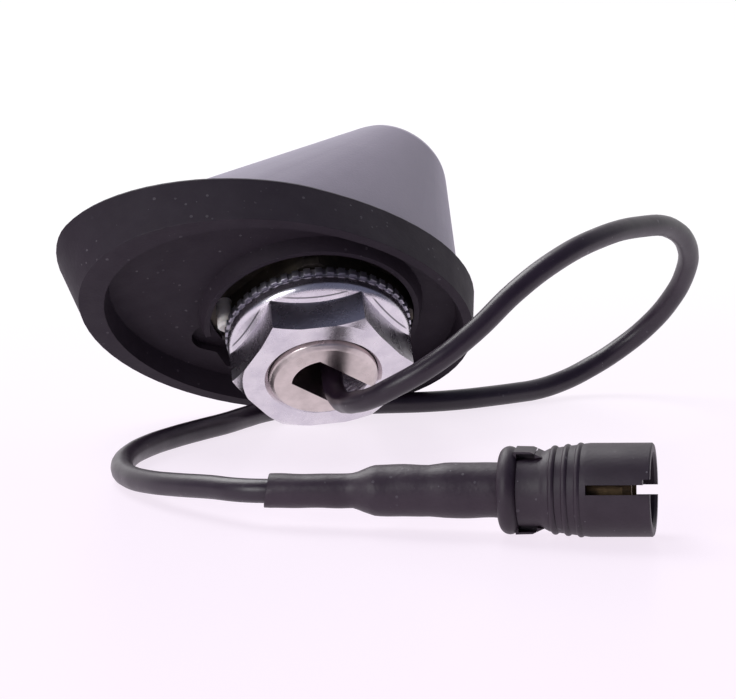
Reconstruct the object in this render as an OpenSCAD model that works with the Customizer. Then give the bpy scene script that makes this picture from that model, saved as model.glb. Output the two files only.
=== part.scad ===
// Roof antenna base for a car, taken off the roof and lying on a table on its nut and its gasket,
// with its short coaxial lead and its push-on coaxial connector.
// The base is described as it sits on a roof: z is up, the gasket's rim is at z = 0,
// the threaded stud hangs down on the z axis, and +x points to the back of the car.

/* [Gasket] */
// Rim in front of the stud
rim_front = 32.5; // [30:0.1:34]
// Rim behind the stud
rim_rear = 21.3; // [19:0.1:23]
// Half of the rim's greatest width
rim_side = 18.5; // [17.5:0.1:19.5]
// How far in front of the stud the base is widest
widest = 6; // [4:0.5:9]
// Width of the flat rim at the sides and at the back
rim_w = 1.3; // [1:0.1:2]
// Width of the flat rim at the front end
rim_front_w = 3.5; // [2:0.1:4.5]
// Height of the gasket's outer wall
skirt_h = 6.7; // [6:0.1:8.5]
// How far the wall leans out at the front end
flare_front = 3.1; // [1:0.1:4]
// How far the wall leans out at the back end
flare_rear = 0.8; // [0.5:0.1:2]
// How far the wall leans out at the sides
side_flare = -0.1; // [-0.4:0.1:0.5]
// Depth of the recess inside the rim
recess_h = 3; // [2:0.1:3.4]
// Thickness of the gasket's floor
floor_t = 1.6; // [1.2:0.1:2]

/* [Housing] */
// Gap between the edge of the gasket and the foot of the housing
foot_inset = 1.8; // [1.2:0.1:2.5]
// Wall of the housing
wall = 2; // [1.6:0.1:2.4]
// How far behind the stud the mast's seat lies
tip_x = 15.3; // [13:0.1:17]
// Height of the mast's seat above the roof
tip_z = 32.2; // [30:0.1:36]
// How far the mast leans back
lean = 30; // [25:1:35]
// Radius of the neck below the mast's seat
neck_r = 8.3; // [8:0.1:9.5]
// Radius of the rounding round the mast's seat
tip_round = 3.4; // [2.5:0.1:3.5]

/* [Mast socket] */
// Radius of the mast's thread
mast_r = 2.5; // [2:0.1:3]
// Depth of the mast's thread
mast_depth = 9; // [7:0.5:10]
// Radius of the socket's body
socket_r = 4; // [3.7:0.1:4.3]
// Radius of the socket's collar
collar_r = 5; // [4.8:0.1:5.3]

/* [Carrier and stud] */
// Thickness of the carrier plate
plate_t = 2.4; // [2:0.1:3]
// Side of the square boss that keeps the base from turning
boss_side = 19; // [18:0.1:19.5]
// Corner radius of the square boss, from its middle
boss_corner_r = 12.5; // [12.2:0.1:12.6]
// Radius of the window in the gasket, inside its raised collar
window_r = 13.3; // [13.3:0.1:13.8]
// Height of the round seat that stands on the square boss
seat_h = 0.3; // [0.2:0.1:0.6]
// Turn of the boss and the stud's slot from the base's long axis
boss_turn = 16; // [10:1:24]
// Radius of the stud
stud_r = 7; // [6.8:0.1:7.2]
// How far the stud hangs below the rim
stud_down = 9; // [8.8:0.1:10]
// Width of the slot down the stud
slot_w = 5.5; // [4.5:0.1:5.8]
// How far the slot's flat sides reach past the stud's axis
slot_past = 3.1; // [2.5:0.1:3.4]

/* [Nut and washer] */
// Nut across its flats
nut_af = 20.3; // [19:0.1:21]
// Height of the nut's hexagon
hex_h = 4.2; // [3.5:0.1:5]
// Radius of the nut's flange
flange_r = 11.9; // [11.5:0.1:12.2]
// Thickness of the flange at its edge
flange_edge = 2; // [1.4:0.1:2.2]
// Radius of the nut's flat face
face_r = 10.4; // [9.8:0.1:10.5]
// Radius of the toothed washer
washer_r = 12.1; // [11.8:0.1:12.4]
// Thickness of the toothed washer
washer_t = 1; // [0.8:0.1:1.2]
// Number of teeth round the washer
teeth = 50; // [40:1:60]

/* [Lead] */
// Diameter of the lead
lead_d = 2.8; // [2.5:0.1:3]

/* [Connector] */
// Length of the heat-shrink sleeve over the lead
thin_len = 9.5; // [8:0.1:11]
// Length of the sleeve's cone
cone_len = 2.9; // [2:0.1:4]
// Length of the sleeve that shows, from its cut end to the collar
sleeve_len = 26.5; // [25.5:0.1:27.5]
// Wall of the heat-shrink sleeve
shrink_t = 0.45; // [0.3:0.05:0.6]
// Radius of the crimped ferrule under the sleeve
ferrule_r = 2.45; // [2.3:0.05:2.6]
// Radius of the rounded collar
ring_r = 4.95; // [4.7:0.05:5.1]
// Length of the rounded collar
ring_len = 2.2; // [1.8:0.1:2.6]
// Radius of the neck behind the grip ribs
grip_neck_r = 4.15; // [4:0.05:4.3]
// Radius of the barrel
barrel_r = 5.25; // [5.1:0.05:5.4]
// Inner radius of the barrel
barrel_in_r = 4.1; // [4:0.05:4.2]
// Length of the connector's plastic body
body_len = 17.2; // [17:0.1:18.5]
// Width of the barrel's two slots
barrel_slot_w = 1.1; // [0.8:0.1:1.4]
// Length of the barrel's slots
barrel_slot_len = 7.1; // [6:0.1:7.5]

/* [Hidden] */

// How finely the round and the egg-shaped outlines are drawn
round_fn = 96;
egg_points = 72;
// Running clearance between parts that slide together, and a hair past a face for clean cuts
fit = 0.1;
eps = 0.01;

// How the base lies: turned on the table, tipped over, and turned about its own stud
pose_turn = 7;
pose_tip = 47.8;
pose_spin = 21;
// Where the middle of the rim lies on the table
pose_x = 6.38;
pose_y = -8.14;

// Levels in the base, from the rim at z = 0
floor_top = recess_h + floor_t;
plate_top = floor_top + plate_t;
foot_top = floor_top + 1.2;
washer_top = 0.1;
boss_face = washer_top + seat_h;
relief_deep = 1.2;
flange_top = washer_top - washer_t;
nut_face = -stud_down + 0.8;
hex_top = nut_face + hex_h;
cone_h = flange_top - flange_edge - hex_top;
chamfer_h = (nut_af / sqrt(3) - face_r) * tan(30);
head_t = 1.2;
stud_head_r = 8;
head_top = plate_top + head_t;
pillar_top = head_top + 1.8;
board_t = 1.2;
board_top = pillar_top + board_t;

// Turn of the nut's hexagon about the stud
nut_turn = 31.5;
seat_r = 9.3;
// The gasket's window is off the stud's axis, toward the peg, and a collar stands round it
window_at = [-0.6, 0.2];
collar_face = 1;
collar_edge = 0.7;
collar_slope = 1;

// The mast's axis, from its seat down
mast_dir = [sin(lean), 0, cos(lean)];
seat_face_r = neck_r - tip_round;
neck_below = tip_round + 0.3;
neck_x = tip_x - neck_below * sin(lean);
neck_z = tip_z - neck_below * cos(lean);
collar_t = 0.8;
socket_len = mast_depth + 2;

// Sizes of the housing's foot, from the edge of the gasket
foot_front = rim_front + flare_front - foot_inset;
foot_rear = rim_rear + flare_rear - foot_inset;
foot_side = rim_side + side_flare - foot_inset;
foot_widest = widest + 3;
// Fullness of the foot's front and rear halves
foot_full = [1.82, 2.15];

// Where the screws stand
plate_gap = 2;
housing_screw_x = [-foot_front + 7.5, foot_rear - 5.8];
housing_screw_r = 1.25;
housing_boss_r = 2.6;
housing_boss_h = 6;
screw_head_r = 2.3;
screw_head_t = 1.3;
board_front = foot_front - 12;
board_rear = foot_rear - 8.8;
board_side = foot_side - wall - 2.2;
board_widest = 2;
pillar_r = 2;
pillar_y = board_side - 3.6;
pillar_x = sqrt(pow(stud_head_r + pillar_r + 0.25, 2) - pow(pillar_y, 2));
board_screw_at = [[4 - board_front, 0], [pillar_x, pillar_y], [pillar_x, -pillar_y]];
board_screw_r = 1;
board_head_r = 1.9;
board_head_t = 1.1;
board_screw_len = 4;

// The parts on the board
coil_x = -11.5;
coil_r = 3;
coil_h = 4.2;
coil_rim = 0.7;
coil_waist = 0.7;
capacitor_at = [[-6, 6], [-1.5, 6], [-6, -8]];
capacitor_size = [2, 1.25, 0.9];

// Where the lead runs inside the stud
lead_at = [2, 1.3];
lead_start = -5.2;

// The locating peg beside the washer
peg_at = [-11, 4.5];
peg_r = 1.1;
peg_face = 0.3;
peg_room = 0.6;

// The connector's place on the table: its cut sleeve end, its turn and its slope
plug_at = [0.9, -68.3, 4.0];
plug_turn = -10.5;
plug_slope = 2.2;
// Levels along the connector, from the cut end of the sleeve
cone_end = thin_len + cone_len;
step_at = 19.3;
rib_at = sleeve_len + 6.2;
rib_pitch = 1.45;
ribs = 3;
mouth_at = sleeve_len + body_len;
shoulder_at = sleeve_len + 1.5;
shoulder_len = 2;
contact_r = 3.1;
contact_wall = 0.55;
contact_end = mouth_at - 2.2;
insulator_len = 6.3;
pin_r = 0.55;
cup_r = 0.95;
lead_end = cone_end + 0.9;

// Centreline of the lead on and above the table, from the stud's open end to the sleeve
route = [
    [8.9, -14.8, 5.3], [9.5, -17.3, 5.0], [10.2, -19.8, 5.3],
    [10.9, -22.3, 5.8], [13.0, -25.1, 6.8], [15.5, -27.1, 8.4], [20.5, -28.1, 11.5], [26.0, -27.2, 15.7],
    [31.0, -25.0, 20.2], [36.3, -21.1, 23.6], [42.2, -15.1, 25.7], [48.2, -7.3, 26.1], [53.0, 0.0, 24.9],
    [55.8, 6.0, 21.4], [55.9, 10.4, 17.4], [54.3, 13.6, 13.3], [51.6, 15.6, 9.6], [47.6, 16.4, 6.1],
    [43.6, 15.6, 3.7], [39.5, 13.4, 2.1], [35.0, 10.1, 1.4], [30.0, 6.5, 1.4], [25.0, 3.5, 1.4],
    [20.6, 1.9, 1.4], [15.4, 1.1, 1.4], [10.4, 0.3, 1.4], [5.6, -0.7, 1.4], [1.7, -2.5, 1.4],
    [-0.8, -5.1, 1.4], [-2.9, -8.5, 1.4], [-5.5, -13.1, 1.4], [-8.6, -17.5, 1.4],
    [-11.6, -22.1, 1.4], [-14.7, -28.0, 1.4], [-16.8, -35.0, 1.4], [-17.2, -42.2, 1.5],
    [-15.9, -49.3, 1.8], [-13.0, -55.5, 2.4], [-9.6, -60.0, 3.0], [-5.6, -64.2, 3.6],
    [-2.8, -66.7, 3.8]];

// An egg-shaped outline: front end at x = -front, back end at x = rear, widest at x = -wide.
// A fullness of 2 gives ellipses, less gives flatter shoulders and more gives fuller ones.
function bowed(a, full) = sign(a) * pow(abs(a), 2 / full);
function egg(front, rear, side, wide, full = [2, 2]) =
    [for (i = [0:egg_points - 1])
        let (a = 360 * i / egg_points, reach = cos(a) < 0 ? front - wide : rear + wide,
            f = cos(a) < 0 ? full[0] : full[1])
        [-wide + reach * bowed(cos(a), f), side * bowed(sin(a), f)]];

// The same outline at a height
function at_height(outline, z) = [for (p = outline) [p[0], p[1], z]];

// A round section square to the mast's axis, some way below its seat
function mast_section(below, r) =
    [for (i = [0:egg_points - 1])
        let (a = 360 * i / egg_points, d = r * cos(a))
        [tip_x - below * sin(lean) + d * cos(lean), r * sin(a), tip_z - below * cos(lean) - d * sin(lean)]];

// The housing's foot, and a section of the straight-sided shape between that and the neck
function foot_outline(inset) =
    egg(foot_front - inset, foot_rear - inset, foot_side - inset, foot_widest, foot_full);
function housing_section(share, inset) =
    let (foot = at_height(foot_outline(inset), foot_top), neck = mast_section(neck_below, neck_r - inset))
    [for (i = [0:egg_points - 1]) foot[i] * (1 - share) + neck[i] * share];

// Height of a point of the base above the middle of its rim, once it is tipped over
function tipped_z(p) =
    p[2] * cos(pose_tip) - sin(pose_tip) * (p[0] * sin(pose_spin) + p[1] * cos(pose_spin));

// The base rests on whichever of its nut and its rim reaches lowest
rim_outline = at_height(egg(rim_front, rim_rear, rim_side, widest), 0);
nut_outline = [for (a = [0:0.5:59.5], k = [0:5])
    let (r = min(face_r, nut_af / 2 / cos(a - 30)), turn = nut_turn + a + 60 * k)
    [r * cos(turn), r * sin(turn), nut_face]];
pose_z = -min([for (p = concat(rim_outline, nut_outline)) tipped_z(p)]);

// Where a point of the base lies on the table
function lying_point(p) =
    let (
        x = p[0] * cos(pose_spin) - p[1] * sin(pose_spin),
        y = (p[0] * sin(pose_spin) + p[1] * cos(pose_spin)) * cos(pose_tip) + p[2] * sin(pose_tip))
    [pose_x + x * cos(pose_turn) - y * sin(pose_turn), pose_y + x * sin(pose_turn) + y * cos(pose_turn),
        pose_z + tipped_z(p)];

// A closed skin through sections that all have the same number of points
module skin(sections) {
    n = len(sections[0]);
    last = len(sections) - 1;
    polyhedron(
        points = [for (s = sections) for (p = s) p],
        faces = concat(
            [[for (i = [0:n - 1]) i]],
            [[for (i = [0:n - 1]) last * n + n - 1 - i]],
            [for (k = [0:last - 1]) for (i = [0:n - 1])
                let (j = (i + 1) % n) [k * n + i, (k + 1) * n + i, k * n + j]],
            [for (k = [0:last - 1]) for (i = [0:n - 1])
                let (j = (i + 1) % n) [k * n + j, (k + 1) * n + i, (k + 1) * n + j]]));
}

// A round tube of flat sides along a centreline
function unit(v) = v / norm(v);
function tangent(path, i) = unit(path[min(i + 1, len(path) - 1)] - path[max(i - 1, 0)]);
function side_dir(path, i) =
    i == 0 ? unit(cross(tangent(path, 0), [0, 0, 1]))
    : let (t = tangent(path, i), s = side_dir(path, i - 1)) unit(s - t * (s * t));
function ring_at(path, i, r, sides) =
    let (t = tangent(path, i), s = side_dir(path, i), u = cross(s, t))
    [for (k = [0:sides - 1]) path[i] + r * (s * cos(360 * k / sides) + u * sin(360 * k / sides))];

module tube(path, r, sides) {
    skin([for (i = [len(path) - 1:-1:0]) ring_at(path, i, r, sides)]);
}

// Places the base as it lies on the table
module lying() {
    translate([pose_x, pose_y, pose_z])
        rotate([0, 0, pose_turn]) rotate([-pose_tip, 0, 0]) rotate([0, 0, pose_spin]) children();
}

// Places the connector as it lies on the table, with its axis along x
module plugged() {
    translate(plug_at) rotate([0, -plug_slope, plug_turn]) children();
}

// Turns what is drawn up the z axis to run along x
module along_x(from) {
    translate([from, 0, 0]) rotate([0, 90, 0]) children();
}

// Places what is drawn below the mast's seat, with z up the mast
module on_mast() {
    translate([tip_x, 0, tip_z]) rotate([0, lean, 0]) children();
}

module square_boss(h) {
    intersection() {
        rotate([0, 0, boss_turn]) translate([-boss_side / 2, -boss_side / 2, 0]) cube([boss_side, boss_side, h]);
        cylinder(h = h, r = boss_corner_r, $fn = round_fn);
    }
}

module rubber_gasket() {
    color("#2b2a2d") lying() difference() {
        union() {
            difference() {
                skin([
                    at_height(egg(rim_front, rim_rear, rim_side, widest), -1),
                    at_height(egg(rim_front, rim_rear, rim_side, widest), 0.3),
                    at_height(foot_outline(-foot_inset), skirt_h - 0.5),
                    at_height(foot_outline(0.4 - foot_inset), skirt_h)]);
                // the flat rim
                translate([-60, -40, -3]) cube([120, 80, 3]);
                // the recess inside the rim
                skin([
                    at_height(egg(rim_front - rim_front_w, rim_rear - rim_w, rim_side - rim_w, widest - 0.5), -2),
                    at_height(egg(rim_front - rim_front_w, rim_rear - rim_w, rim_side - rim_w, widest - 0.5), 0),
                    at_height(egg(rim_front - rim_front_w - 0.8, rim_rear - rim_w - 0.8,
                        rim_side - rim_w - 0.8, widest - 0.5), recess_h)]);
            }
            // the collar that stands round the window
            translate([window_at[0], window_at[1], collar_face])
                cylinder(h = recess_h + 1 - collar_face, r1 = window_r + collar_edge,
                    r2 = window_r + collar_edge + collar_slope, $fn = round_fn);
        }
        // the pocket that the housing's foot sits in
        skin([
            at_height(foot_outline(-fit), floor_top),
            at_height(foot_outline(-fit), skirt_h + 2)]);
        // the window for the boss, and a round-ended pocket beside it
        translate([window_at[0], window_at[1], collar_face - 1])
            cylinder(h = floor_top - collar_face + 2, r = window_r, $fn = round_fn);
        translate([0, 0, collar_face - 1]) hull() {
            for (x = [-10.4, -4])
                translate([x, 9.8, 0]) cylinder(h = recess_h + relief_deep - collar_face + 1, r = 2.7, $fn = 32);
        }
    }
}

module antenna_housing() {
    cavity_share = 0.62;
    color("#3c3843") lying() difference() {
        // straight sides all round from the foot to the rounded end of the neck
        hull() {
            translate([0, 0, floor_top]) linear_extrude(foot_top - floor_top) polygon(foot_outline(0));
            skin([for (a = [0:18:90])
                mast_section(tip_round * (1 - sin(a)), seat_face_r + tip_round * cos(a))]);
        }
        // the hollow above the carrier plate
        difference() {
            union() {
                skin(concat(
                    [at_height(foot_outline(wall), floor_top - 1)],
                    [for (k = [0:3]) housing_section(cavity_share * k / 3, wall)]));
            }
            for (x = housing_screw_x)
                translate([x, 0, plate_top]) cylinder(h = housing_boss_h, r = housing_boss_r, $fn = 48);
        }
        for (x = housing_screw_x)
            translate([x, 0, plate_top - 1])
                cylinder(h = housing_boss_h, r = housing_screw_r + fit, $fn = 32);
        // the seat and bore of the mast socket, and the way down to its contact
        on_mast() {
            translate([0, 0, -collar_t]) cylinder(h = collar_t + 2, r = collar_r + fit, $fn = round_fn);
            translate([0, 0, -socket_len]) cylinder(h = socket_len, r = socket_r + fit, $fn = round_fn);
            translate([0, 0, -socket_len - 9]) cylinder(h = 10, r = 1.8, $fn = 48);
        }
    }
}

module mast_socket() {
    color("#c9c9cf") lying() on_mast() difference() {
        union() {
            translate([0, 0, -socket_len]) cylinder(h = socket_len, r = socket_r, $fn = round_fn);
            translate([0, 0, -collar_t]) cylinder(h = collar_t + 0.3, r = collar_r, $fn = round_fn);
        }
        translate([0, 0, -mast_depth]) cylinder(h = mast_depth + 1, r = mast_r, $fn = round_fn);
        for (z = [-socket_len + 3, -socket_len + 6])
            translate([0, 0, z]) rotate_extrude($fn = round_fn)
                translate([socket_r, 0]) circle(r = 0.5, $fn = 24);
    }
}

module carrier_plate() {
    color("#a2977c") lying() difference() {
        union() {
            translate([0, 0, floor_top]) linear_extrude(plate_t)
                polygon(foot_outline(wall + plate_gap));
            difference() {
                translate([0, 0, boss_face]) square_boss(floor_top - boss_face + eps);
                // the notch that the peg stands in
                translate([peg_at[0], peg_at[1], boss_face - 1])
                    cylinder(h = floor_top - boss_face + 1, r = peg_r + peg_room, $fn = 48);
            }
            translate([0, 0, washer_top]) cylinder(h = seat_h + eps, r = seat_r, $fn = round_fn);
            for (p = board_screw_at)
                translate([p[0], p[1], plate_top - eps])
                    cylinder(h = pillar_top - plate_top + eps, r = pillar_r, $fn = 48);
        }
        translate([0, 0, -1]) cylinder(h = plate_top + 2, r = stud_r + fit, $fn = round_fn);
        for (p = board_screw_at)
            translate([p[0], p[1], plate_top]) cylinder(h = 9, r = board_screw_r + fit, $fn = 32);
        for (x = housing_screw_x) translate([x, 0, floor_top - 1]) {
            cylinder(h = plate_t + 2, r = housing_screw_r + fit, $fn = 32);
            cylinder(h = screw_head_t + 1, r = screw_head_r + fit, $fn = 48);
        }
    }
}

module housing_screws() {
    color("#8d8f94") lying() for (x = housing_screw_x) translate([x, 0, floor_top]) difference() {
        union() {
            translate([0, 0, fit]) cylinder(h = screw_head_t - fit, r = screw_head_r, $fn = 48);
            cylinder(h = screw_head_t + 5.2, r = housing_screw_r, $fn = 32);
        }
        translate([-1.6, -0.3, -1]) cube([3.2, 0.6, 1.7]);
        translate([-0.3, -1.6, -1]) cube([0.6, 3.2, 1.7]);
    }
}

module threaded_stud() {
    slot_h = stud_down + plate_top;
    bow_r = 4.5;
    bow_x = sqrt(pow(bow_r, 2) - pow(slot_w / 2, 2)) - slot_past;
    color("#d7d7dc") lying() difference() {
        rotate_extrude($fn = round_fn) polygon([
            [0, -stud_down], [stud_r - 0.6, -stud_down], [stud_r, -stud_down + 0.6], [stud_r, plate_top],
            [stud_head_r, plate_top], [stud_head_r, head_top], [0, head_top]]);
        // the slot for the lead, with a bowed closed end and open at the other side
        rotate([0, 0, boss_turn]) translate([0, 0, -stud_down - 1]) {
            intersection() {
                translate([-stud_r, -slot_w / 2, 0]) cube([stud_r, slot_w, slot_h]);
                translate([bow_x, 0, -1]) cylinder(h = slot_h + 2, r = bow_r, $fn = 64);
            }
            translate([-eps, -slot_w / 2, 0]) cube([stud_r + 2, slot_w, slot_h]);
        }
        translate([lead_at[0], lead_at[1], 0])
            cylinder(h = head_top + 1, r = lead_d / 2 + 0.4, $fn = 48);
    }
}

module flange_nut() {
    color("#d9dae0") lying() difference() {
        union() {
            // the hexagon, its outer corners turned off
            intersection() {
                translate([0, 0, nut_face]) rotate([0, 0, nut_turn])
                    cylinder(h = hex_h + cone_h, r = nut_af / sqrt(3), $fn = 6);
                union() {
                    translate([0, 0, nut_face])
                        cylinder(h = chamfer_h, r1 = face_r, r2 = nut_af / sqrt(3), $fn = round_fn);
                    translate([0, 0, nut_face + chamfer_h])
                        cylinder(h = hex_h + cone_h, r = nut_af / sqrt(3) + eps, $fn = round_fn);
                }
            }
            translate([0, 0, hex_top])
                cylinder(h = cone_h, r1 = nut_af / 2, r2 = flange_r, $fn = round_fn);
            translate([0, 0, hex_top + cone_h]) cylinder(h = flange_edge, r = flange_r, $fn = round_fn);
        }
        translate([0, 0, nut_face - 1]) cylinder(h = hex_h + 8, r = stud_r + fit, $fn = round_fn);
        translate([0, 0, nut_face - eps]) cylinder(h = 0.5, r1 = stud_r + 0.6, r2 = stud_r + fit, $fn = round_fn);
    }
}

module toothed_washer() {
    tooth_h = 0.35;
    color("#b9bcc6") lying() translate([0, 0, flange_top]) difference() {
        union() {
            cylinder(h = washer_t, r = washer_r - tooth_h, $fn = round_fn);
            for (i = [0:teeth - 1]) rotate([0, 0, 360 * i / teeth])
                translate([washer_r - tooth_h - 0.3, -0.45, 0]) cube([tooth_h + 0.3, 0.9, washer_t]);
        }
        translate([0, 0, -1]) cylinder(h = washer_t + 2, r = stud_r + 2 * fit, $fn = round_fn);
    }
}

module locating_peg() {
    color("#e3ddd0") lying() translate([peg_at[0], peg_at[1], peg_face]) union() {
        translate([0, 0, 0.3]) cylinder(h = floor_top - peg_face - 0.3, r = peg_r, $fn = 48);
        cylinder(h = 0.3, r1 = peg_r - 0.3, r2 = peg_r, $fn = 48);
    }
}

module circuit_board() {
    color("#2f6b4a") lying() translate([0, 0, pillar_top]) difference() {
        linear_extrude(board_t) polygon(egg(board_front, board_rear, board_side, board_widest));
        for (p = board_screw_at)
            translate([p[0], p[1], -1]) cylinder(h = board_t + 2, r = board_screw_r + fit, $fn = 32);
    }
}

module board_screws() {
    color("#c6c8cc") lying() for (p = board_screw_at) translate([p[0], p[1], board_top]) difference() {
        union() {
            cylinder(h = board_head_t, r = board_head_r, $fn = 48);
            translate([0, 0, -board_screw_len]) cylinder(h = board_screw_len + eps, r = board_screw_r, $fn = 32);
        }
        translate([-3, -0.25, board_head_t - 0.5]) cube([6, 0.5, 1]);
    }
}

module amplifier_chip() {
    color("#26262a") lying() translate([-6, -2.5, board_top]) union() {
        translate([0, 0, 0.2]) cube([3.9, 4.9, 1.4]);
        for (k = [0:3], x = [-1, 3.9]) translate([x, 0.5 + 1.2 * k, 0]) cube([1, 0.45, 0.3]);
    }
}

module choke_coil() {
    color("#8a4a2c") lying() translate([coil_x, 0, board_top]) rotate_extrude($fn = 48)
        polygon([[0, 0], [coil_r, 0], [coil_r, coil_rim], [coil_r - coil_waist, coil_rim + 0.2],
            [coil_r - coil_waist, coil_h - coil_rim - 0.2], [coil_r, coil_h - coil_rim], [coil_r, coil_h],
            [0, coil_h]]);
}

module chip_capacitors() {
    color("#b08a5a") lying() for (p = capacitor_at)
        translate([p[0], p[1], board_top]) cube(capacitor_size);
}

module mast_contact() {
    // a stamped strip from the board up to the foot of the mast socket
    foot_z = board_top;
    top_x = tip_x - (socket_len + 0.02) * sin(lean);
    top_z = tip_z - (socket_len + 0.02) * cos(lean);
    strip_t = 0.4;
    color("#c9b27a") lying() translate([0, 1, 0]) rotate([90, 0, 0]) linear_extrude(2) polygon([
        [3, foot_z], [6.8, foot_z], [7.2, foot_z + 0.4],
        [top_x + 0.3 - 1.2 * sin(lean), top_z - 1.2 * cos(lean)], [top_x + 0.3, top_z - 0.15],
        [top_x - 0.3, top_z + 0.15], [top_x - 0.3 - 1.4 * sin(lean), top_z - 1.4 * cos(lean)],
        [6.7, foot_z + strip_t], [3, foot_z + strip_t]]);
}

module inner_lead() {
    color("#1f1f21") lying() translate([lead_at[0], lead_at[1], lead_start])
        cylinder(h = pillar_top - lead_start, r = lead_d / 2, $fn = 48);
}

module lead_ferrule() {
    color("#bfae86") lying() translate([lead_at[0], lead_at[1], head_top + 0.2]) difference() {
        cylinder(h = pillar_top - head_top - 0.2, r = lead_d / 2 + 0.6, $fn = 48);
        translate([0, 0, -1]) cylinder(h = 9, r = lead_d / 2 + 0.05, $fn = 48);
    }
}

module coax_lead() {
    plug_dir = [cos(plug_slope) * cos(plug_turn), cos(plug_slope) * sin(plug_turn), sin(plug_slope)];
    from_stud = [for (z = [0, 1.6, 3.2]) lying_point([lead_at[0], lead_at[1], lead_start - z])];
    inside = [for (x = [-0.9, 2, 6, 9.5, lead_end]) plug_at + plug_dir * x];
    color("#232226") tube(concat(from_stud, route, inside), lead_d / 2, 8);
}

module shrink_sleeve() {
    over_lead = lead_d / 2 + 0.05;
    over_ferrule = ferrule_r + 0.02;
    over_step = ferrule_r + 0.2;
    end = sleeve_len;
    color("#35313a") plugged() difference() {
        along_x(0) rotate_extrude($fn = round_fn) polygon([
            [over_lead, -1], [over_lead + shrink_t, -1], [over_lead + shrink_t, thin_len],
            [over_ferrule + shrink_t, cone_end], [over_ferrule + shrink_t, step_at],
            [over_step + shrink_t, step_at + 1.6], [over_step + shrink_t, end],
            [over_ferrule, end], [over_ferrule, cone_end + 0.8], [over_lead, thin_len + 0.4]]);
        // the slanting cut end
        rotate([0, -13, 0]) translate([-8, -5, -5]) cube([8, 10, 10]);
    }
}

module crimp_ferrule() {
    color("#b7a36a") plugged() along_x(lead_end + 0.1) difference() {
        cylinder(h = shoulder_at - lead_end - 0.1, r = ferrule_r, $fn = round_fn);
        translate([0, 0, -1]) cylinder(h = 30, r = ferrule_r - 0.5, $fn = round_fn);
    }
}

module connector_body() {
    rib_start = rib_at - 1.1;
    slope_start = sleeve_len + 4.6;
    bore_r = contact_r + 0.05;
    lug_start = sleeve_len + ring_len;
    lug_w = 3.6;
    color("#3a353c") plugged() difference() {
        union() {
            along_x(0) rotate_extrude($fn = round_fn) polygon(concat(
                [[bore_r, sleeve_len], [ring_r - 1, sleeve_len]],
                [for (a = [0:15:180]) [ring_r - ring_len / 2 + ring_len / 2 * sin(a),
                    sleeve_len + ring_len / 2 - ring_len / 2 * cos(a)]],
                [[grip_neck_r, sleeve_len + ring_len], [grip_neck_r, slope_start],
                    [barrel_r - 0.6, rib_start + 0.5],
                    [barrel_r, rib_at + ribs * rib_pitch - 0.4],
                    [barrel_r, mouth_at - 0.15], [barrel_r - 0.15, mouth_at],
                    [barrel_in_r + 0.2, mouth_at], [barrel_in_r, mouth_at - 0.3],
                    [barrel_in_r, mouth_at - 8], [bore_r, mouth_at - 8]]));
            // the grip ribs
            for (k = [0:ribs - 1]) along_x(rib_at + k * rib_pitch) rotate_extrude($fn = round_fn)
                translate([barrel_r - 0.65 + 0.15 * k, 0]) circle(r = 0.4, $fn = 24);
            // the two latch lugs behind the collar
            for (side = [1, -1]) rotate([90, 0, 0]) linear_extrude(lug_w, center = true) polygon([
                [lug_start - 0.4, side * (grip_neck_r - 0.5)], [lug_start - 0.4, side * (grip_neck_r + 0.55)],
                [lug_start + 1.5, side * (grip_neck_r + 0.5)], [lug_start + 2.8, side * (grip_neck_r - 0.1)]]);
        }
        along_x(mouth_at - 8) cylinder(h = 9, r = barrel_in_r, $fn = round_fn);
        // the pockets in both flanks of the lugs
        for (side = [1, -1], flank = [1, -1]) scale([1, flank, side])
            translate([lug_start - 0.1, 0.4, grip_neck_r - 0.45]) cube([2.1, lug_w, 0.75]);
        // the two slots of the barrel, widened at the mouth
        rotate([-11, 0, 0]) {
            translate([mouth_at - barrel_slot_len, -8, -barrel_slot_w / 2])
                cube([barrel_slot_len + 1, 16, barrel_slot_w]);
            translate([mouth_at - 0.8, -8, -0.45]) cube([2, 8, 1.6]);
        }
    }
}

module outer_contact() {
    tail_r = ferrule_r - 0.55;
    color("#c2a45a") plugged() difference() {
        along_x(0) rotate_extrude($fn = round_fn) polygon([
            [pin_r + 0.55, sleeve_len - 6], [tail_r, sleeve_len - 6], [tail_r, shoulder_at],
            [contact_r, shoulder_at], [contact_r, contact_end - 1], [contact_r - 0.25, contact_end],
            [contact_r - contact_wall, contact_end], [contact_r - contact_wall, shoulder_at + shoulder_len],
            [pin_r + 0.55, shoulder_at + shoulder_len]]);
        for (a = [0, 90]) rotate([a + 45, 0, 0])
            translate([contact_end - 6.5, -5, -0.25]) cube([8, 10, 0.5]);
    }
}

module contact_insulator() {
    color("#e8e6df") plugged() along_x(shoulder_at + shoulder_len) difference() {
        cylinder(h = insulator_len, r = contact_r - contact_wall - 0.03, $fn = round_fn);
        translate([0, 0, -1]) cylinder(h = insulator_len + 2, r = pin_r + 0.03, $fn = 48);
    }
}

module centre_contact() {
    cup_from = shoulder_at + shoulder_len + insulator_len;
    color("#d0a94e") plugged() along_x(0) rotate_extrude($fn = 64) polygon([
        [0, sleeve_len - 8], [pin_r, sleeve_len - 8], [pin_r, cup_from], [cup_r, cup_from],
        [cup_r, contact_end - 0.6], [cup_r - 0.4, contact_end - 0.6], [cup_r - 0.4, contact_end - 3.2],
        [0, contact_end - 3.2]]);
}

rubber_gasket();
antenna_housing();
mast_socket();
carrier_plate();
housing_screws();
threaded_stud();
flange_nut();
toothed_washer();
locating_peg();
circuit_board();
board_screws();
amplifier_chip();
choke_coil();
chip_capacitors();
mast_contact();
inner_lead();
lead_ferrule();
coax_lead();
shrink_sleeve();
crimp_ferrule();
connector_body();
outer_contact();
contact_insulator();
centre_contact();
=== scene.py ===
import bpy
import math
from mathutils import Matrix, Vector


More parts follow.
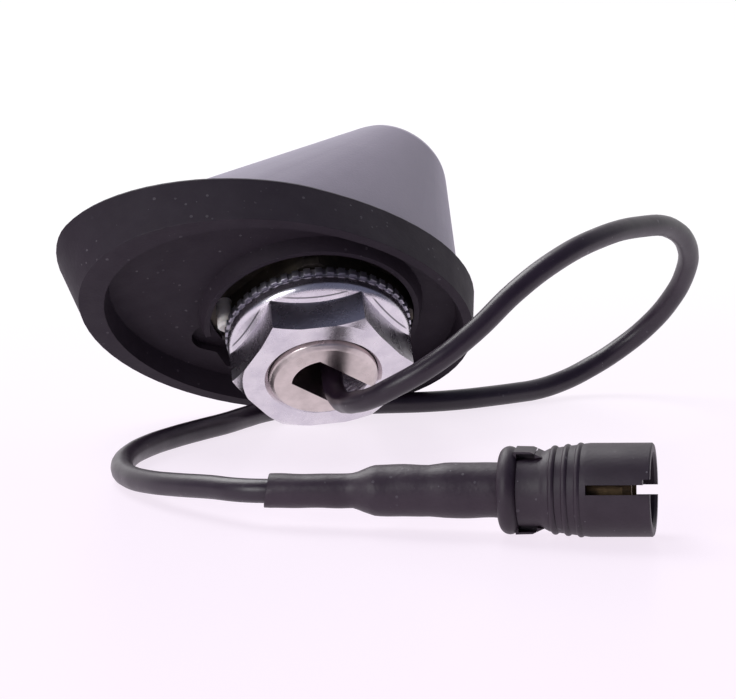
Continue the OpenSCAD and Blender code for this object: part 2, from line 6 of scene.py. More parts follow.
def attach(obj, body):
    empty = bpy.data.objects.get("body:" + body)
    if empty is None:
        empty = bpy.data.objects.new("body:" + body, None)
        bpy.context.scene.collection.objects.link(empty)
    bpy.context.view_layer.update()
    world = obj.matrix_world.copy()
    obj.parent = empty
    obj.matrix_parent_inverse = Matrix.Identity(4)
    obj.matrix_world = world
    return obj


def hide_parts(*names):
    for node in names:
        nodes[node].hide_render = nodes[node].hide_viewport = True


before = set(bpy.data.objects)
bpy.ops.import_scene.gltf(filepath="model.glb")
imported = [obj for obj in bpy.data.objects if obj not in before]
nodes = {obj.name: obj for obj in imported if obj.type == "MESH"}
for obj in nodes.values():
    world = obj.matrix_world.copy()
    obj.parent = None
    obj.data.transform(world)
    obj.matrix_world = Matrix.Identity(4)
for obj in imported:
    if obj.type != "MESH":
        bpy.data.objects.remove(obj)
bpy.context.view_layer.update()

# The camera stands in front of the base, 450 mm from the nut's face and 85 mm above the table, and
# looks a little down. A long lens gives the photograph's flat perspective.
photo_width = 736
photo_focal_length = 3510
camera_data = bpy.data.cameras.new("camera")
camera_data.sensor_fit = "HORIZONTAL"
camera_data.sensor_width = 36
camera_data.lens = camera_data.sensor_width * photo_focal_length / photo_width
camera_data.clip_start = 0.01
camera_data.clip_end = 20
camera = bpy.data.objects.new("camera", camera_data)
bpy.context.scene.collection.objects.link(camera)
camera.location = (0.00725, -0.4582, 0.08525)
camera_aim = Vector((0.0124, 0.9863, -0.1645))
camera.rotation_euler = camera_aim.to_track_quat("-Z", "Y").to_euler()
bpy.context.scene.camera = camera

# The coaxial lead is a 2.8 mm cable in an extruded, satin black jacket. It is soldered inside the
# stud, leaves it through the slot, springs up in one loop and lies on the table up to its sleeve.
base_place = Vector((6.38, -8.14, 13.1805))
pose_turn = Matrix.Rotation(math.radians(7), 3, "Z")
pose_tip = Matrix.Rotation(math.radians(-47.8), 3, "X")
pose_spin = Matrix.Rotation(math.radians(21), 3, "Z")
base_turn = pose_turn @ pose_tip @ pose_spin
connector_place = Vector((0.9, -68.3, 4.0))
connector_turn = math.radians(-10.5)
connector_slope = math.radians(2.2)


def on_base(x, y, z):
    """A point of the base, given as it sits on a roof, in millimetres."""
    return base_place + base_turn @ Vector((x, y, z))


def on_connector(along, up=0.0, side=0.0):
    """A point of the connector: along its axis from the sleeve's cut end, in millimetres."""
    level = math.cos(connector_slope)
    ahead = Vector((level * math.cos(connector_turn), level * math.sin(connector_turn),
        math.sin(connector_slope)))
    left = Vector((-math.sin(connector_turn), math.cos(connector_turn), 0))
    return connector_place + along * ahead + up * ahead.cross(left) + side * left


lead_r = 0.0014
lead_route = [on_base(2, 1.3, -5.2 - z) for z in (0, 1.6, 3.2)] + [Vector(p) for p in (
    (8.9, -14.8, 5.3), (9.5, -17.3, 5.0), (10.2, -19.8, 5.3),
    (10.9, -22.3, 5.8), (13.0, -25.1, 6.8), (15.5, -27.1, 8.4), (20.5, -28.1, 11.5), (26.0, -27.2, 15.7),
    (31.0, -25.0, 20.2), (36.3, -21.1, 23.6), (42.2, -15.1, 25.7), (48.2, -7.3, 26.1), (53.0, 0.0, 24.9),
    (55.8, 6.0, 21.4), (55.9, 10.4, 17.4), (54.3, 13.6, 13.3), (51.6, 15.6, 9.6), (47.6, 16.4, 6.1),
    (43.6, 15.6, 3.7), (39.5, 13.4, 2.1), (35.0, 10.1, 1.4), (30.0, 6.5, 1.4), (25.0, 3.5, 1.4),
    (20.6, 1.9, 1.4), (15.4, 1.1, 1.4), (10.4, 0.3, 1.4), (5.6, -0.7, 1.4), (1.7, -2.5, 1.4),
    (-0.8, -5.1, 1.4), (-2.9, -8.5, 1.4), (-5.5, -13.1, 1.4), (-8.6, -17.5, 1.4),
    (-11.6, -22.1, 1.4), (-14.7, -28.0, 1.4), (-16.8, -35.0, 1.4), (-17.2, -42.2, 1.5),
    (-15.9, -49.3, 1.8), (-13.0, -55.5, 2.4), (-9.6, -60.0, 3.0), (-5.6, -64.2, 3.6),
    (-2.8, -66.7, 3.8))] + [on_connector(x) for x in (-0.9, 2, 6, 9.5, 13.3)]
lead_curve = bpy.data.curves.new("coax_lead", "CURVE")
lead_curve.dimensions = "3D"
lead_curve.bevel_depth = lead_r
lead_curve.bevel_resolution = 6
lead_curve.use_fill_caps = True
spline = lead_curve.splines.new("BEZIER")
spline.bezier_points.add(len(lead_route) - 1)
for point, place in zip(spline.bezier_points, lead_route):
    point.co = place / 1000
    point.handle_left_type = "AUTO"
    point.handle_right_type = "AUTO"
spline.resolution_u = 6
lead = bpy.data.objects.new("lead", lead_curve)
bpy.context.scene.collection.objects.link(lead)
bpy.ops.object.select_all(action="DESELECT")
lead.select_set(True)
bpy.context.view_layer.objects.active = lead
bpy.ops.object.convert(target="MESH")
lead = bpy.context.object
# Each ring of the tube gives one point of the path, and a ring that dips under the table is
# lifted. The first two rings are the tube's end caps, which are merged with the tube.
ring = 2 * lead_curve.bevel_resolution + 4
cap_rings = 2
table_gap = 0.00001
lead_path = []
for first in range(0, len(lead.data.vertices), ring):
    points = lead.data.vertices[first:first + ring]
    middle = sum((v.co for v in points), Vector()) / ring
    lift = max(0.0, lead_r + table_gap - middle.z)
    for v in points:
        v.co.z += lift
    lead_path.append(middle + Vector((0, 0, lift)))
lead_path = lead_path[cap_rings:]
bpy.ops.object.mode_set(mode="EDIT")
bpy.ops.mesh.select_all(action="SELECT")
bpy.ops.mesh.remove_doubles(threshold=0.000001)
bpy.ops.object.mode_set(mode="OBJECT")
bpy.ops.object.shade_smooth_by_angle(angle=math.radians(40))
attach(lead, "root")
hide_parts("coax_lead")


def put(tree, kind, sockets=None, **settings):
    """A shader node with its settings, its sockets set to values or joined to other nodes' outputs."""
    made = tree.nodes.new("ShaderNode" + kind)
    for setting, value in settings.items():
        setattr(made, setting, value)
    for socket, value in (sockets or {}).items():
        if isinstance(value, bpy.types.NodeSocket):
            tree.links.new(value, made.inputs[socket])
        else:
            made.inputs[socket].default_value = value
    return made


def effect(name, inputs, outputs):
    """An empty node group with named sockets: its tree, the group's inputs and its output node."""
    tree = bpy.data.node_groups.new(name, "ShaderNodeTree")
    for direction, sockets in (("INPUT", inputs), ("OUTPUT", outputs)):
        for socket, kind in sockets:
            tree.interface.new_socket(name=socket, in_out=direction, socket_type="NodeSocket" + kind)
    return tree, tree.nodes.new("NodeGroupInput").outputs, tree.nodes.new("NodeGroupOutput")


# One effect that every surface of the antenna shares: soft patches of a second colour, dust specks,
# an uneven polish and a fine grain in the surface, all in the piece's own coordinates.
skin, given, result = effect("skin",
    [("Place", "Vector"), ("Colour", "Color"), ("Patch colour", "Color"), ("Patch scale", "Float"),
        ("Roughness", "Float"), ("Spread", "Float"), ("Grain scale", "Float"), ("Grain height", "Float"),
        ("Speck colour", "Color"), ("Specks", "Float")],
    [("Colour", "Color"), ("Roughness", "Float"), ("Normal", "Vector"), ("Speck mask", "Float")])
patches = put(skin, "TexNoise", {"Vector": given["Place"], "Scale": given["Patch scale"], "Detail": 4,
    "Roughness": 0.6})
patch_mask = put(skin, "MapRange", {"Value": patches.outputs[0], "From Min": 0.38, "From Max": 0.66})
colours = put(skin, "Mix", {0: patch_mask.outputs[0], 6: given["Colour"], 7: given["Patch colour"]},
    data_type="RGBA")
dust = put(skin, "TexVoronoi", {"Vector": given["Place"], "Scale": 1500}, feature="F1")
dust_size = put(skin, "SeparateColor", {0: dust.outputs["Color"]})
dust_reach = put(skin, "MapRange", {"Value": dust_size.outputs[0], "From Min": 1, "From Max": 0.86,
    "To Min": 0.34, "To Max": 0})
near = put(skin, "Math", {0: dust.outputs["Distance"], 1: dust_reach.outputs[0]}, operation="LESS_THAN")
dusty = put(skin, "TexNoise", {"Vector": given["Place"], "Scale": 160, "Detail": 2})
dusty_mask = put(skin, "MapRange", {"Value": dusty.outputs[0], "From Min": 0.4, "From Max": 0.65})
specks = put(skin, "Math", {0: near.outputs[0], 1: dusty_mask.outputs[0]}, operation="MULTIPLY")
specks = put(skin, "Math", {0: specks.outputs[0], 1: given["Specks"]}, operation="MULTIPLY")
speckled = put(skin, "Mix", {0: specks.outputs[0], 6: colours.outputs[2], 7: given["Speck colour"]},
    data_type="RGBA")
polish = put(skin, "TexNoise", {"Vector": given["Place"], "Scale": 420, "Detail": 5})
polish = put(skin, "Math", {0: polish.outputs[0], 1: 0.5}, operation="SUBTRACT")
polish = put(skin, "Math", {0: polish.outputs[0], 1: given["Spread"], 2: given["Roughness"]},
    operation="MULTIPLY_ADD", use_clamp=True)
grain = put(skin, "TexNoise", {"Vector": given["Place"], "Scale": given["Grain scale"], "Detail": 3})
raised = put(skin, "Math", {0: specks.outputs[0], 1: 0.8, 2: grain.outputs[0]}, operation="MULTIPLY_ADD")
relief = put(skin, "Bump", {"Strength": 1, "Distance": given["Grain height"],
    "Height": raised.outputs[0]})
for socket, value in (("Colour", speckled.outputs[2]), ("Roughness", polish.outputs[0]),
        ("Normal", relief.outputs[0]), ("Speck mask", specks.outputs[0])):
    skin.links.new(value, result.inputs[socket])


def finish(name, colour, patch_colour, rough, spread=0.15, patch_scale=250, grain_scale=2500,
        grain=0.00002, metal=0.0, specks=0.0, speck_colour=(0.35, 0.33, 0.36)):
    """A material with the skin effect on it, in a node named skin."""
    material = bpy.data.materials.new(name)
    material.use_nodes = True
    tree = material.node_tree
    shader = shader_of(material)
    shader.inputs["Metallic"].default_value = metal
    place = put(tree, "TexCoord")
    group = put(tree, "Group", node_tree=skin, name="skin")
    tree.links.new(place.outputs["Object"], group.inputs["Place"])
    for socket, value in (("Colour", (*colour, 1)), ("Patch colour", (*patch_colour, 1)),
            ("Patch scale", patch_scale), ("Roughness", rough), ("Spread", spread),
            ("Grain scale", grain_scale), ("Grain height", grain), ("Speck colour", (*speck_colour, 1)),
            ("Specks", specks)):
        group.inputs[socket].default_value = value
    for socket, target in (("Colour", "Base Color"), ("Roughness", "Roughness"), ("Normal", "Normal")):
        tree.links.new(group.outputs[socket], shader.inputs[target])
    return material


def shader_of(material):
    """The main shader of a material."""
    return material.node_tree.nodes["Principled BSDF"]


jacket = finish("satin_jacket", (0.02, 0.01, 0.021), (0.027, 0.015, 0.028), rough=0.38, spread=0.22,
    patch_scale=300, grain_scale=3000, grain=0.000012, specks=0.3)
lead.data.materials.append(jacket)

# The gasket is a moulded skirt of matt black rubber. Its rim lies flat on the roof, and a window
# with a raised collar leaves room for the boss. Dust from handling sits in its fine texture.
def on_roof(point):
    """A point of the scene in millimetres of the base as it sits on a roof: on_base the other way."""
    return base_turn.inverted() @ (1000 * point - base_place)


def merged_copy(node, name):
    """A copy of a CAD piece's mesh with its doubled points merged, selected and active."""
    piece = bpy.data.objects.new(name, nodes[node].data.copy())
    bpy.context.scene.collection.objects.link(piece)
    bpy.ops.object.select_all(action="DESELECT")
    piece.select_set(True)
    bpy.context.view_layer.objects.active = piece
    if piece.data.has_custom_normals:
        bpy.ops.mesh.customdata_custom_splitnormals_clear()
    bpy.ops.object.mode_set(mode="EDIT")
    bpy.ops.mesh.select_all(action="SELECT")
    bpy.ops.mesh.remove_doubles(threshold=0.000004)
    bpy.ops.object.mode_set(mode="OBJECT")
    return piece


def close_hole(piece, lines_hole):
    """Takes out the faces that line a hole, told by their corners, and closes its mouth."""
    bpy.ops.object.mode_set(mode="EDIT")
    bpy.ops.mesh.select_mode(type="FACE")
    bpy.ops.mesh.select_all(action="DESELECT")
    bpy.ops.object.mode_set(mode="OBJECT")
    for face in piece.data.polygons:
        face.select = lines_hole([on_roof(piece.data.vertices[v].co) for v in face.vertices])
    bpy.ops.object.mode_set(mode="EDIT")
    bpy.ops.mesh.delete(type="FACE")
    bpy.ops.mesh.select_mode(type="VERT")
    bpy.ops.mesh.select_all(action="DESELECT")
    bpy.ops.mesh.select_non_manifold()
    bpy.ops.mesh.fill_holes(sides=0)
    bpy.ops.mesh.select_all(action="SELECT")
    bpy.ops.mesh.quads_convert_to_tris()
    bpy.ops.mesh.normals_make_consistent(inside=False)
    bpy.ops.object.mode_set(mode="OBJECT")


def round_over(piece, is_chosen, size):
    """Gives the chosen edges, told by their ends, a round of their own."""
    bpy.ops.object.mode_set(mode="EDIT")
    bpy.ops.mesh.select_mode(type="EDGE")
    bpy.ops.mesh.select_all(action="DESELECT")
    bpy.ops.object.mode_set(mode="OBJECT")
    for line in piece.data.edges:
        line.select = is_chosen([on_roof(piece.data.vertices[v].co) for v in line.vertices])
    bpy.ops.object.mode_set(mode="EDIT")
    bpy.ops.mesh.bevel(offset=size, segments=5, affect="EDGES")
    bpy.ops.mesh.select_mode(type="VERT")
    bpy.ops.object.mode_set(mode="OBJECT")


def join_flats():
    """Joins the triangles of each flat face of the active piece."""
    bpy.ops.object.mode_set(mode="EDIT")
    bpy.ops.mesh.select_all(action="SELECT")
    bpy.ops.mesh.dissolve_limited(angle_limit=math.radians(0.6))
    bpy.ops.object.mode_set(mode="OBJECT")


def break_edges(piece, edge, sharp):
    """Breaks every edge of the active piece that is sharper than the given degrees."""
    rounding = piece.modifiers.new("edge", "BEVEL")
    rounding.width = edge
    rounding.segments = 2
    rounding.limit_method = "ANGLE"
    rounding.angle_limit = math.radians(sharp)
    rounding.harden_normals = False
    bpy.ops.object.modifier_apply(modifier=rounding.name)
    bpy.ops.object.mode_set(mode="EDIT")
    bpy.ops.mesh.select_all(action="SELECT")
    bpy.ops.mesh.remove_doubles(threshold=0.000002)
    bpy.ops.object.mode_set(mode="OBJECT")


def dress(node, name, material, edge=0.0, rounded=None, hole=None):
    """A merged copy of a CAD piece in its material, which stands in for it. edge is the round on
    its sharp edges, rounded the edges with a round of their own and its size, hole one to close."""
    sharp = 28
    piece = merged_copy(node, name)
    if hole:
        close_hole(piece, hole)
    if edge:
        join_flats()
    if rounded:
        round_over(piece, *rounded)
    if edge:
        break_edges(piece, edge, sharp)
    bpy.ops.object.shade_smooth_by_angle(angle=math.radians(sharp))
    if edge:
        even = piece.modifiers.new("even", "WEIGHTED_NORMAL")
        even.keep_sharp = True
        even.weight = 100
        bpy.ops.object.modifier_apply(modifier=even.name)
    piece.data.materials.clear()
    piece.data.materials.append(material)
    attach(piece, "root")
    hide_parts(node)
    return piece


rubber = finish("dusty_rubber", (0.0185, 0.011, 0.0195), (0.0245, 0.016, 0.0255), rough=0.7, spread=0.2,
    patch_scale=160, grain_scale=2200, grain=0.00003, specks=0.35, speck_colour=(0.2, 0.18, 0.2))
shader_of(rubber).inputs["Specular IOR Level"].default_value = 0.35
dress("rubber_gasket", "gasket", rubber, edge=0.00012)

# The housing is an injection-moulded shell of black plastic with a fine spark-eroded texture. It
# is one drawn form from its egg-shaped foot up to the round seat of the mast.
# The base colour is a lilac grey, well lighter than black plastic: part of the housing's sheen is painted
# into it.
moulded = finish("moulded_housing", (0.09, 0.071, 0.112), (0.103, 0.082, 0.127), rough=0.46, spread=0.12,
    patch_scale=90, grain_scale=3200, specks=0.1)
shader_of(moulded).inputs["Sheen Weight"].default_value = 0.7
shader_of(moulded).inputs["Sheen Roughness"].default_value = 0.45
shader_of(moulded).inputs["Sheen Tint"].default_value = (0.93, 0.86, 1, 1)
front_screw_x = -26.3
front_hole_r = 1.4
front_hole_start = 5


def lines_front_hole(corners):
    """The faces of the front screw's hole, which breaks through the thin front of the CAD shell."""
    return all(math.hypot(p.x - front_screw_x, p.y) < front_hole_r and p.z > front_hole_start
        for p in corners)


dress("antenna_housing", "housing", moulded, edge=0.0001, hole=lines_front_hole)


# The mast socket is a turned steel insert, nickel plated, moulded into the housing's neck. Its
# blind thread takes the mast rod.
def wear(node, material):
    """A CAD piece keeps its own mesh and gets its material."""
    nodes[node].data.materials.clear()
    nodes[node].data.materials.append(material)


plated = finish("nickel_plate", (0.60, 0.57, 0.56), (0.50, 0.47, 0.46), rough=0.3, spread=0.2,
    patch_scale=300, grain_scale=2600, grain=0.000008, metal=1.0)
wear("mast_socket", plated)

# The carrier is a die-cast zinc plate with a dull yellow-brown passivated skin. Its square boss
# fills the roof's hole, and its pillars hold the board.
cast = finish("passivated_zinc", (0.085, 0.072, 0.055), (0.03, 0.025, 0.028), rough=0.5, spread=0.25,
    patch_scale=260, grain_scale=1500, grain=0.00004, metal=0.75, specks=0.4)
wear("carrier_plate", cast)

# Two zinc-plated steel screws hold the carrier to the housing. The front one is shortened here,
# because the CAD screw's tip comes out through the thin front of the shell.
screw_zinc = finish("screw_zinc", (0.52, 0.52, 0.55), (0.36, 0.36, 0.38), rough=0.32, spread=0.2,
    patch_scale=500, grain_scale=2600, grain=0.00001, metal=1.0)
tip_above = 10.5
tip_cut = 2.6
carrier_screws = dress("housing_screws", "carrier_screws", screw_zinc)
for corner in carrier_screws.data.vertices:
    tip = on_roof(corner.co)
    if tip.x < front_screw_x / 2 and tip.z > tip_above:
        corner.co = on_base(tip.x, tip.y, tip.z - tip_cut) / 1000


# The threaded stud is nickel-plated steel, slotted for the lead and staked in the carrier. Its face
# and the nut still show the fine rings of the lathe.
def in_base(tree):
    """Object coordinates turned back to the base as it sits on a roof, with the stud on the z axis."""
    place = put(tree, "TexCoord")
    return put(tree, "Mapping", {"Vector": place.outputs["Object"], "Location": base_place / 1000,
        "Rotation": base_turn.to_euler()}, vector_type="TEXTURE").outputs[0]


def turn_on_lathe(material, depth, pitch):
    """Fine rings from the lathe, all round the stud's axis, laid over the skin's own grain."""
    tree = material.node_tree
    at = put(tree, "SeparateXYZ", {0: in_base(tree)})
    flat = put(tree, "CombineXYZ", {0: at.outputs[0], 1: at.outputs[1]})
    reach = put(tree, "VectorMath", {0: flat.outputs[0]}, operation="LENGTH")
    rings = put(tree, "TexNoise", {"W": reach.outputs["Value"], "Scale": pitch, "Detail": 3},
        noise_dimensions="1D")
    rings = put(tree, "Bump", {"Distance": depth, "Height": rings.outputs[0],
        "Normal": tree.nodes["skin"].outputs["Normal"]})
    tree.links.new(rings.outputs[0], shader_of(material).inputs["Normal"])


stud_nickel = finish("stud_nickel", (0.72, 0.64, 0.62), (0.56, 0.5, 0.48), rough=0.3, spread=0.2,
    patch_scale=350, grain_scale=2600, grain=0.00001, metal=1.0, specks=0.3, speck_colour=(0.12, 0.1, 0.1))
turn_on_lathe(stud_nickel, depth=0.00002, pitch=5000)
dress("threaded_stud", "stud", stud_nickel, edge=0.00015)

# The flange nut is bright zinc-plated steel: a hexagon whose corners run out in a turned cone,
# and a flange with a rounded edge. A thin dark line of painted shade runs in the cone along each flat's
# edge.
nut_zinc = finish("nut_zinc", (0.80, 0.77, 0.81), (0.66, 0.63, 0.69), rough=0.27, spread=0.16,
    patch_scale=260, grain_scale=2400, grain=0.00001, metal=1.0, specks=0.2, speck_colour=(0.2, 0.18, 0.2))
turn_on_lathe(nut_zinc, depth=0.000012, pitch=7000)
first_flat = 61.5
line_from_axis = 0.0107
cone_starts = -0.0031
cone_full = -0.0033
edge_shade_colour = (0.05, 0.05, 0.06, 1)
nut_tree = nut_zinc.node_tree
nut_place = in_base(nut_tree)
flats = []
for pair in range(3):
    angle = math.radians(first_flat + 60 * pair)
    away = put(nut_tree, "VectorMath", {0: nut_place, 1: (math.cos(angle), math.sin(angle), 0)},
        operation="DOT_PRODUCT")
    flats.append(put(nut_tree, "Math", {0: away.outputs["Value"]}, operation="ABSOLUTE").outputs[0])
two_pairs = put(nut_tree, "Math", {0: flats[0], 1: flats[1]}, operation="MAXIMUM")
from_axis = put(nut_tree, "Math", {0: two_pairs.outputs[0], 1: flats[2]}, operation="MAXIMUM")
off_line = put(nut_tree, "Math", {0: from_axis.outputs[0], 1: line_from_axis}, operation="SUBTRACT")
off_line = put(nut_tree, "Math", {0: off_line.outputs[0]}, operation="ABSOLUTE")
# Painted shade: a thin dark line on the cone where each flat meets it.
edge_shade_line = put(nut_tree, "MapRange", {"Value": off_line.outputs[0], "From Min": 0.00012,
    "From Max": 0.00004, "To Max": 0.85})
height = put(nut_tree, "SeparateXYZ", {0: nut_place})
on_cone = put(nut_tree, "MapRange", {"Value": height.outputs[2], "From Min": cone_starts,
    "From Max": cone_full})
edge_shade_line = put(nut_tree, "Math", {0: edge_shade_line.outputs[0], 1: on_cone.outputs[0]},
    operation="MULTIPLY")
# The painted edge shade is mixed into the nut's colour here.
edge_shaded = put(nut_tree, "Mix", {0: edge_shade_line.outputs[0], 6: nut_tree.nodes["skin"].outputs["Colour"],
    7: edge_shade_colour}, data_type="RGBA")
nut_tree.links.new(edge_shaded.outputs[2], shader_of(nut_zinc).inputs["Base Color"])
flange_inner_r = 11.8
flange_bottom = -3.1
level_within = 0.1


def is_flange_edge(ends):
    """The nut's outer edges, above and below its flange."""
    outside = all(math.hypot(p.x, p.y) > flange_inner_r and p.z > flange_bottom for p in ends)
    return outside and abs(ends[0].z - ends[1].z) < level_within


dress("flange_nut", "nut", nut_zinc, edge=0.00012, rounded=(is_flange_edge, 0.0007))

# The nut's thread is tapped in its bore and shows where the stud's slot is open. It is made as
# seven ridges in the nut's own metal, each a triangle swept round the stud's axis.
thread_ridges = 7
thread_pitch = 0.0007
thread_r = 0.0066
thread_low = -0.0078
thread_start = math.radians(-8)
thread_sweep = math.radians(50)
ridge_size = 0.00045
for number in range(thread_ridges):
    bpy.ops.object.select_all(action="DESELECT")
    bpy.ops.mesh.primitive_circle_add(vertices=3, radius=ridge_size, fill_type="NGON",
        rotation=(math.radians(90), 0, 0))
    ridge = bpy.context.object
    ridge.name = f"nut_thread_{number + 1}"
    bpy.ops.object.transform_apply(location=False, rotation=True, scale=False)
    bpy.ops.object.mode_set(mode="EDIT")
    bpy.ops.mesh.select_all(action="SELECT")
    bpy.ops.transform.translate(value=(thread_r, 0, thread_low + number * thread_pitch))
    bpy.ops.mesh.spin(steps=14, angle=thread_sweep, center=(0, 0, 0), axis=(0, 0, 1))
    bpy.ops.mesh.select_all(action="SELECT")
    bpy.ops.mesh.remove_doubles(threshold=0.000001)
    bpy.ops.mesh.select_all(action="DESELECT")
    bpy.ops.mesh.select_non_manifold()
    bpy.ops.mesh.fill_holes(sides=4)
    bpy.ops.mesh.select_all(action="SELECT")
    bpy.ops.mesh.normals_make_consistent(inside=False)
    bpy.ops.object.mode_set(mode="OBJECT")
    swept_from = min(math.atan2(v.co.y, v.co.x) for v in ridge.data.vertices)
    ridge_turn = Matrix.Rotation(thread_start - swept_from, 3, "Z")
    for corner in ridge.data.vertices:
        corner.co = on_base(*(ridge_turn @ (1000 * corner.co))) / 1000
    bpy.ops.object.shade_smooth_by_angle(angle=math.radians(30))
    ridge.data.materials.append(nut_zinc)
    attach(ridge, "root")

# The toothed washer bites in the roof's sheet and earths the base. It is stamped zinc-plated
# spring steel, duller than the nut.
washer_zinc = finish("washer_zinc", (0.55, 0.54, 0.6), (0.4, 0.39, 0.44), rough=0.36, spread=0.2,
    patch_scale=400, grain_scale=2400, grain=0.00001, metal=1.0)
dress("toothed_washer", "washer", washer_zinc, edge=0.00006)

# The locating peg is moulded in undyed nylon, slightly translucent, and stands in a notch of the
# boss beside the washer.
nylon = finish("undyed_nylon", (0.86, 0.82, 0.78), (0.72, 0.66, 0.6), rough=0.42, patch_scale=500,
    grain_scale=2600, grain=0.00001)
shader_of(nylon).inputs["Subsurface Weight"].default_value = 0.15
shader_of(nylon).inputs["Subsurface Radius"].default_value = (0.001, 0.0008, 0.0006)
wear("locating_peg", nylon)

# The amplifier board is a glass laminate under green solder resist. It stands on the carrier's
# pillars, held by three small steel screws.
laminate = finish("green_laminate", (0.02, 0.12, 0.055), (0.03, 0.16, 0.07), rough=0.35, spread=0.1,
    patch_scale=700, grain_scale=3000, grain=0.00001)
wear("circuit_board", laminate)
board_steel = finish("board_screw_steel", (0.5, 0.5, 0.52), (0.35, 0.35, 0.36), rough=0.35, metal=1.0)
wear("board_screws", board_steel)

# What is soldered to the board: the amplifier in black epoxy, a choke wound with lacquered copper
# on its ferrite, and three small ceramic capacitors.
epoxy = finish("moulded_epoxy", (0.018, 0.018, 0.019), (0.028, 0.028, 0.03), rough=0.55)
wear("amplifier_chip", epoxy)
copper = finish("lacquered_copper", (0.5, 0.19, 0.07), (0.38, 0.13, 0.05), rough=0.3, metal=1.0)
wear("choke_coil", copper)
ceramic = finish("fired_ceramic", (0.36, 0.27, 0.19), (0.28, 0.2, 0.14), rough=0.5)
wear("chip_capacitors", ceramic)

# Inside the stud and the carrier: the sprung brass strip from the board to the mast socket, the
# end of the lead in its jacket, and the plated ring that holds it.
brass = finish("contact_brass", (0.6, 0.42, 0.16), (0.4, 0.26, 0.1), rough=0.32, spread=0.2,
    patch_scale=400, metal=1.0)
wear("mast_contact", brass)
wear("inner_lead", jacket)
wear("lead_ferrule", plated)

# The heat-shrink sleeve is polyolefin tube shrunk over the lead and the crimp. It is satin black
# with a slight purple cast, cut a little askew, and shows soft dents where it drew down.
shrink = finish("shrink_tube", (0.026, 0.0125, 0.0245), (0.036, 0.02, 0.034), rough=0.48, spread=0.2,
    patch_scale=220, grain_scale=1600, grain=0.00004, specks=0.25)
sleeve_wall = 0.45
sleeve_end = 26.5
over_lead = 1.45
over_crimp = 2.47
ring_step = 0.7
drawn_down = [(0.0, over_lead), (0.15, 1.5)] + [(ring_step * n, 1.5) for n in range(1, 14)]
drawn_down += [(9.7, 1.53), (10.3, 1.72), (11.0, 2.0), (11.7, 2.28), (12.2, 2.43), (12.8, over_crimp)]
drawn_down += [(12.8 + ring_step * n, 2.48) for n in range(1, 9)] + [(19.2, 2.56), (20.2, 2.66)]
drawn_down += [(20.2 + ring_step * n, 2.67) for n in range(1, 10)]
sleeve_outside = [(along, r + sleeve_wall) for along, r in drawn_down]
sleeve_inside = [(sleeve_end, over_crimp), (13.0, over_crimp), (9.8, over_lead), (0.0, over_lead)]
last_along, last_r = sleeve_outside[0]
bpy.ops.object.select_all(action="DESELECT")
bpy.ops.mesh.primitive_circle_add(vertices=64, radius=last_r / 1000)
sleeve = bpy.context.object
sleeve.name = "sleeve"
bpy.ops.object.mode_set(mode="EDIT")
for along, r in sleeve_outside[1:] + sleeve_inside:
    bpy.ops.mesh.extrude_edges_move(
        TRANSFORM_OT_translate={"value": (0, 0, (along - last_along) / 1000)})
    bpy.ops.transform.resize(value=(r / last_r, r / last_r, 1), center_override=(0, 0, along / 1000))
    last_along, last_r = along, r
bpy.ops.mesh.select_all(action="DESELECT")
bpy.ops.mesh.select_non_manifold()
bpy.ops.mesh.bridge_edge_loops()
bpy.ops.object.mode_set(mode="OBJECT")
# The cut end is slanted, the outside gets its dents, and the tube is laid along the connector's axis.
cut_end = 0.1
cut_slant = 0.27
dents_end = 26
taper_start = 10
dent_share = 0.5
for corner in sleeve.data.vertices:
    up, side, along = 1000 * corner.co
    reach = math.hypot(side, up)
    if along < cut_end:
        along += cut_slant * up
    outside = reach > (1.8 if along < taper_start else 2.6)
    if outside and cut_end < along < dents_end:
        turn = math.atan2(side, up)
        dent = (0.05 * math.sin(2 * turn + 0.9 * along) + 0.04 * math.sin(3 * turn - 0.5 * along + 1)
            + 0.05 * math.sin(1.3 * along + turn))
        swell = 1 + dent_share * dent / reach
        side *= swell
        up *= swell
    corner.co = on_connector(along, up, side) / 1000
bpy.ops.object.mode_set(mode="EDIT")
bpy.ops.mesh.select_all(action="SELECT")
bpy.ops.mesh.normals_make_consistent(inside=False)
bpy.ops.object.mode_set(mode="OBJECT")
bpy.ops.object.shade_smooth_by_angle(angle=math.radians(40))
sleeve.data.materials.append(shrink)
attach(sleeve, "root")
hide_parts("shrink_sleeve")

# The crimped tube is brass, pressed over the lead's braid and hidden under the sleeve. It ties the
# lead to the connector.
wear("crimp_ferrule", brass)

# The connector's body is one moulding in satin black nylon: rounded collar, latch lugs, grip ribs
# and a slotted barrel.
shell = finish("satin_nylon", (0.022, 0.011, 0.021), (0.031, 0.018, 0.03), rough=0.52, spread=0.16,
    grain_scale=2200, specks=0.35)
body = dress("connector_body", "connector", shell)

# Inside the barrel: the slotted brass sleeve that the plug grips by, in a dark brass colour, the
# pale insulator pressed into it, and the brass centre contact.
darkened = finish("darkened_brass", (0.2, 0.135, 0.07), (0.1, 0.07, 0.04), rough=0.45, spread=0.2,
    patch_scale=400, metal=1.0)
wear("outer_contact", darkened)
pale = finish("pale_insulator", (0.75, 0.73, 0.68), (0.62, 0.6, 0.56), rough=0.4)
wear("contact_insulator", pale)
wear("centre_contact", brass)

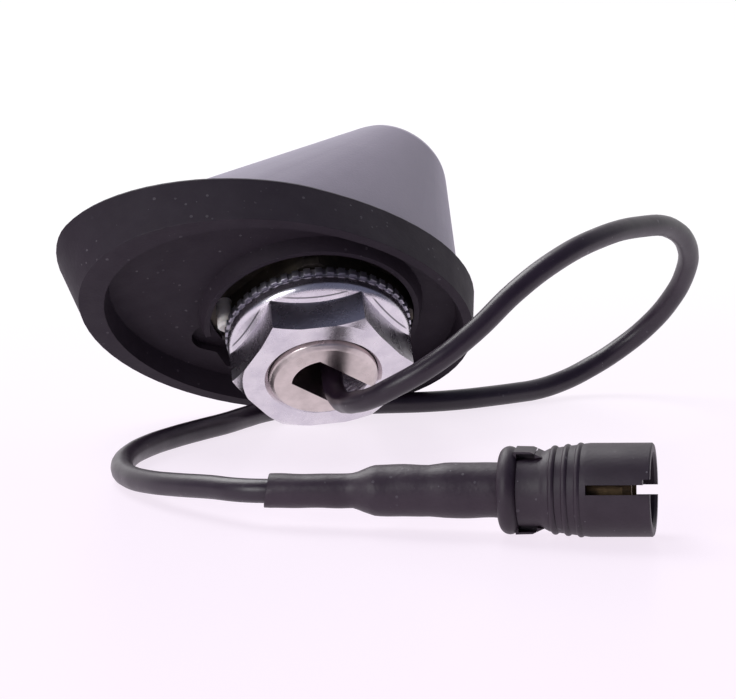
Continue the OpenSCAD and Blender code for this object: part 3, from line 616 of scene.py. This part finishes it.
# The table is a smooth white board, lit from above and from behind. It keeps faint shadows and
# soft reflections, and a share of its own glow lets it run out of the picture as plain white.
glow_share = 0.78
pink_white = (1.06, 0.955, 1.07, 1)
plain_white = (1.08, 1.08, 1.08, 1)
bpy.ops.object.select_all(action="DESELECT")
bpy.ops.mesh.primitive_plane_add(size=6, location=(0, 1.5, 0))
table = bpy.context.object
table.name = "table"
board_white = bpy.data.materials.new("white_board")
board_white.use_nodes = True
board = board_white.node_tree
board_shader = shader_of(board_white)
board_shader.inputs["Base Color"].default_value = (0.88, 0.84, 0.89, 1)
board_shader.inputs["Roughness"].default_value = 0.32
rays = put(board, "LightPath")
picture = put(board, "Math", {0: rays.outputs["Is Camera Ray"], 1: rays.outputs["Is Glossy Ray"]},
    operation="MAXIMUM")
share = put(board, "Math", {0: picture.outputs[0], 1: glow_share}, operation="MULTIPLY")
depth = put(board, "SeparateXYZ", {0: put(board, "TexCoord").outputs["Object"]})
whiter = put(board, "MapRange", {"Value": depth.outputs[1], "From Min": -1.56, "From Max": -1.3})
tone = put(board, "Mix", {0: whiter.outputs[0], 6: pink_white, 7: plain_white}, data_type="RGBA")
glow = put(board, "Emission", {0: tone.outputs[2], 1: 1.0})
both = put(board, "MixShader", {0: share.outputs[0], 1: board_shader.outputs[0], 2: glow.outputs[0]})
board.links.new(both.outputs[0], board.nodes["Material Output"].inputs["Surface"])
table.data.materials.append(board_white)

# The studio: a bright white wall behind the table that fades out overhead, a dark bluish room
# elsewhere, one large softbox overhead, behind the base, and a small one low at the left.
room_colour = (0.13, 0.137, 0.2, 1)
wall_colour = (1, 0.98, 1, 1)
seen_colour = (1, 1, 1, 1)
world = bpy.data.worlds.new("studio")
bpy.context.scene.world = world
world.use_nodes = True
sky = world.node_tree
background = sky.nodes["Background"]
toward = put(sky, "SeparateXYZ", {0: put(sky, "TexCoord").outputs["Generated"]})
behind = put(sky, "MapRange", {"Value": toward.outputs[1], "From Min": 0.1, "From Max": 0.45},
    interpolation_type="SMOOTHSTEP")
low = put(sky, "MapRange", {"Value": toward.outputs[2], "From Min": 0.85, "From Max": 0.6},
    interpolation_type="SMOOTHSTEP")
wall = put(sky, "Math", {0: behind.outputs[0], 1: low.outputs[0]}, operation="MULTIPLY")
room = put(sky, "Mix", {0: wall.outputs[0], 6: room_colour, 7: wall_colour}, data_type="RGBA")
seen = put(sky, "LightPath")
shown = put(sky, "Mix", {0: seen.outputs["Is Camera Ray"], 6: room.outputs[2], 7: seen_colour},
    data_type="RGBA")
sky.links.new(shown.outputs[2], background.inputs["Color"])
background.inputs["Strength"].default_value = 1
for name, place, aim, power, width in (
        ("top_softbox", (-0.35, 0.42, 0.78), (0, 0, 0), 7, 0.6),
        ("left_softbox", (-0.55, -0.6, 0.3), (0, 0, 0.01), 2.6, 0.3)):
    lamp = bpy.data.lights.new(name, "AREA")
    lamp.energy = power
    lamp.size = width
    light = bpy.data.objects.new(name, lamp)
    bpy.context.scene.collection.objects.link(light)
    light.location = place
    light.rotation_euler = (Vector(aim) - Vector(place)).to_track_quat("-Z", "Y").to_euler()

bpy.context.scene.view_settings.view_transform = "Standard"
